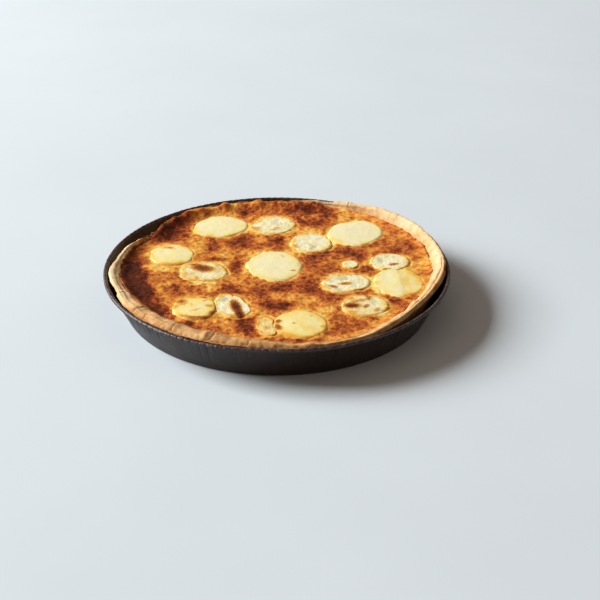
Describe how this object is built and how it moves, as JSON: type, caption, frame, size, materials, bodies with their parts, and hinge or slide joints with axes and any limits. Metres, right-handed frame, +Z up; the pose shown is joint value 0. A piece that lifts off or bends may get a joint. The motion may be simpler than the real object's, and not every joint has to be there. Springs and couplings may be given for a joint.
{
  "type": "quiche in its foil tin",
  "caption": "Round open quiche with uneven pastry rim, browned custard, potato slices and goat's cheese rounds, in its thin dark foil baking tin.",
  "frame": {"origin": "centre of the tin's flat underside, on the surface it stands on", "axes": "+Z up; -Y faces the viewer; +X to the viewer's right"},
  "size_m": [0.2698, 0.2684, 0.0344],
  "materials": {
    "tin": "brown-black lacquered foil, dull sheen",
    "crust": "baked shortcrust pastry, tan to golden, dry and matt",
    "filling": "browned custard, golden orange with brown blotches, slightly greasy sheen",
    "potato": "soft cream-yellow cooked potato, satin",
    "cheese": "off-white crumbly goat's cheese, matt"
  },
  "bodies": {
    "root": {"tin": "tin", "crust": "crust", "filling": "filling", "potato_slice_1": "potato", "potato_slice_2": "potato", "potato_slice_3": "potato", "potato_slice_4": "potato", "potato_slice_5": "potato", "potato_slice_6": "potato", "potato_slice_7": "potato", "cheese_piece_1": "cheese", "cheese_piece_2": "cheese", "cheese_piece_3": "cheese", "cheese_piece_4": "cheese", "cheese_piece_5": "cheese", "cheese_piece_6": "cheese", "cheese_piece_7": "cheese", "cheese_piece_8": "cheese", "cheese_piece_9": "cheese"}
  },
  "joints": []
}
